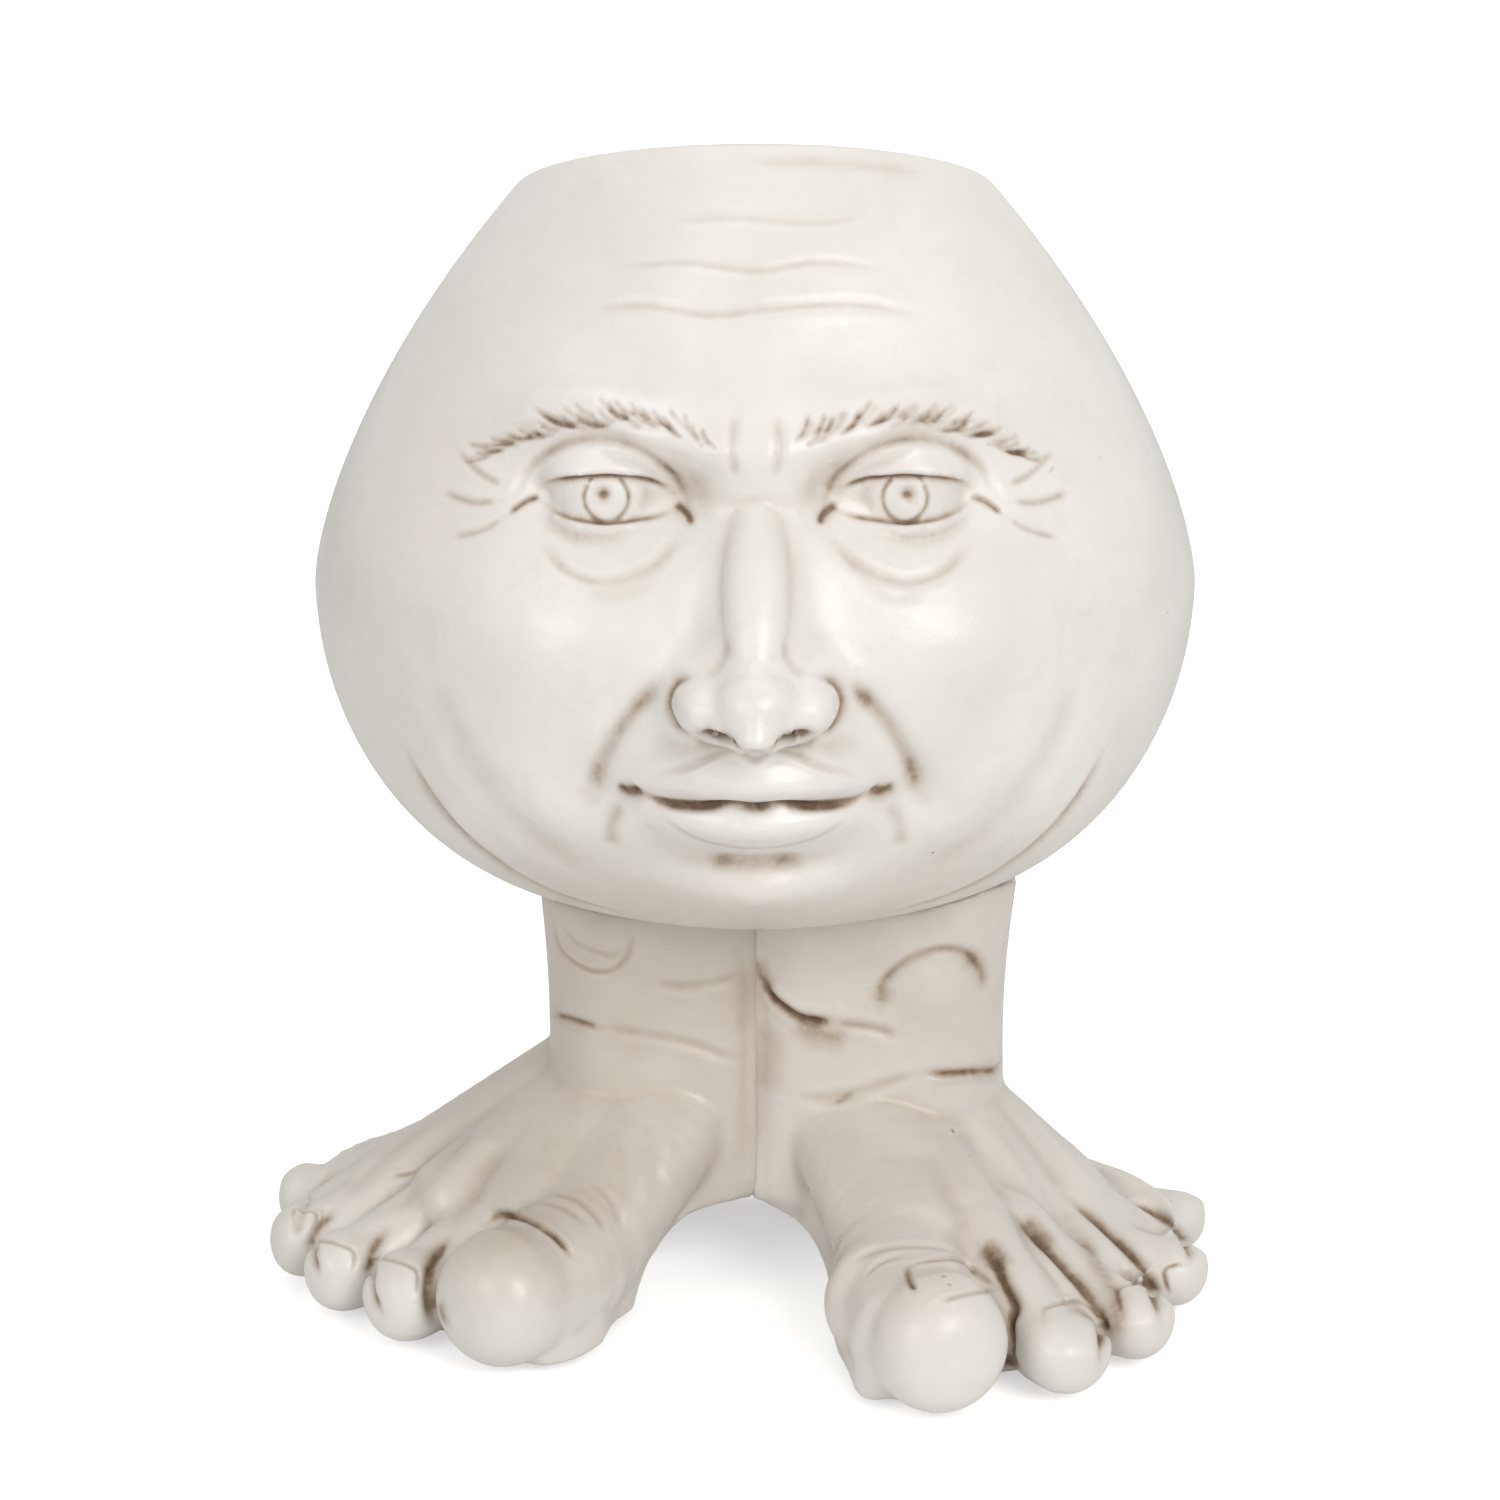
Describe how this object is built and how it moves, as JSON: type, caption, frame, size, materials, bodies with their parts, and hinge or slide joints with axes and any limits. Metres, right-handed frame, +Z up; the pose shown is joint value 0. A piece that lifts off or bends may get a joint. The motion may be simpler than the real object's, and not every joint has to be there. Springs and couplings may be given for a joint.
{
  "type": "head planter",
  "caption": "Hollow head-shaped flower pot with a calm face, open at the crown, standing on bare feet, with a drain hole and a rubber drain plug.",
  "frame": {"origin": "on the ground, in the middle of the planter's footprint box", "axes": "+Z up; the face looks along -Y; +X is the planter's left"},
  "size_m": [0.2518, 0.233, 0.3006],
  "materials": {
    "cast_resin": "satin antique white with a brown wash in the creases",
    "dowel_steel": "plain drawn bar",
    "plug_rubber": "matte",
    "pad_rubber": "matte"
  },
  "bodies": {
    "planter": {"head_pot": "cast_resin", "right_leg_and_foot": "cast_resin", "left_leg_and_foot": "cast_resin", "right_ankle_dowel": "dowel_steel", "left_ankle_dowel": "dowel_steel", "right_sole_pads": "pad_rubber", "left_sole_pads": "pad_rubber"},
    "drain_plug": {"drain_plug": "plug_rubber"}
  },
  "joints": [
    {"name": "drain_plug_pull", "type": "slide", "parent": "planter", "child": "drain_plug", "axis": [0, 0, -1], "range_m": [0, 0.022]}
  ]
}
